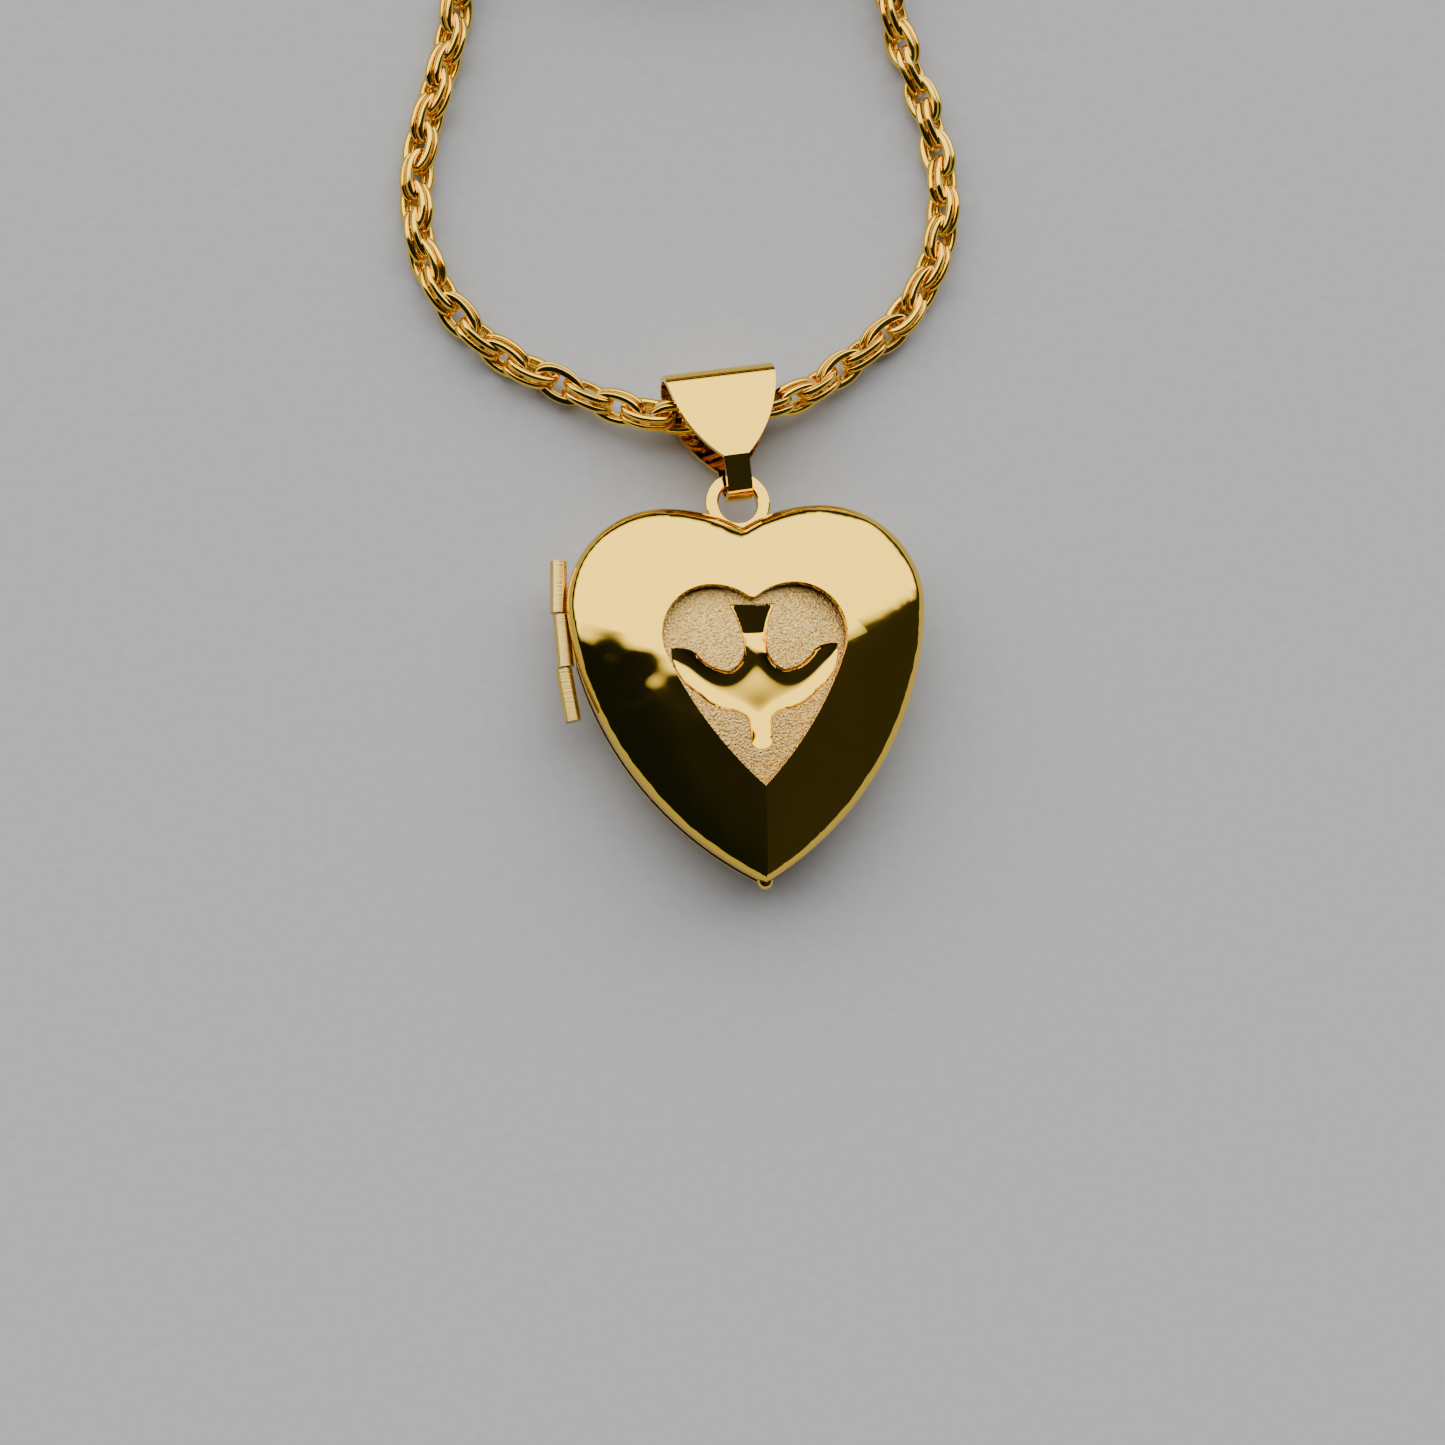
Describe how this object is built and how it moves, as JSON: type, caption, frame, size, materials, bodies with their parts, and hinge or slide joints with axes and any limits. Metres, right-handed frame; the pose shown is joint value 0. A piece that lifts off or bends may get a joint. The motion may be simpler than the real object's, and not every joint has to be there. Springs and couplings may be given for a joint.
{
  "type": "locket",
  "caption": "Heart-shaped hinged locket with a sunk dove emblem, lying on its back with its bail and a coiled paired-link neck chain.",
  "frame": {"origin": "middle of the heart, on the flat of the back shell that the locket lies on", "axes": "+Z out of the front cover, +Y up to the bail, +X to the right of the heart seen from the front"},
  "size_m": [0.0324, 0.081, 0.0056],
  "materials": {
    "polished_gold": "mirror polished gold plate",
    "chain_gold": "bright polished gold plate",
    "brushed_gold": "brushed gold plate",
    "satin_gold": "sand-blasted satin gold with a polished relief",
    "spring_steel": "drawn wire",
    "clear_window": "clear acetate sheet",
    "photo_card": "blank ivory card"
  },
  "bodies": {
    "chain": {"chain_left_run": "chain_gold", "chain_right_run": "chain_gold", "chain_coil": "chain_gold", "clasp_body": "polished_gold", "clasp_spring": "spring_steel", "clasp_eye": "polished_gold", "clasp_jump_ring": "chain_gold", "chain_end_ring": "chain_gold"},
    "clasp_bolt": {"clasp_bolt": "polished_gold"},
    "bail": {"bail": "polished_gold"},
    "back_half": {"back_shell": "polished_gold", "back_rim": "polished_gold", "back_photo_card": "photo_card", "back_photo_window": "clear_window", "back_photo_frame": "polished_gold", "hanging_ring": "polished_gold", "hinge_knuckle_top": "brushed_gold", "hinge_knuckle_bottom": "brushed_gold", "hinge_pin": "spring_steel"},
    "front_half": {"front_shell": "polished_gold", "emblem_plate": "satin_gold", "front_rim": "polished_gold", "front_photo_card": "photo_card", "front_photo_window": "clear_window", "front_photo_frame": "polished_gold", "thumb_catch": "polished_gold", "hinge_knuckle_middle": "brushed_gold"}
  },
  "joints": [
    {"name": "bail_swing", "type": "hinge", "parent": "chain", "child": "bail", "pos_m": [-0.00041, 0.01633, 0.00205], "axis": [-0.9945, -0.1045, 0], "range_deg": [0, 80]},
    {"name": "locket_swing", "type": "hinge", "parent": "bail", "child": "back_half", "pos_m": [0, 0.01242, 0.00235], "axis": [-0.9945, -0.1045, 0], "range_deg": [0, 60]},
    {"name": "cover_hinge", "type": "hinge", "parent": "back_half", "child": "front_half", "pos_m": [-0.01022, 0.00335, 0.00278], "axis": [0.0349, -0.9994, 0], "range_deg": [0, 170]},
    {"name": "clasp_bolt_draw", "type": "hinge", "parent": "chain", "child": "clasp_bolt", "pos_m": [-0.0031, 0.0556, 0.0007], "axis": [0, 0, 1], "range_deg": [0, 50], "stiffness_Nm_per_rad": 0.0002, "springref_deg": -20.05}
  ]
}
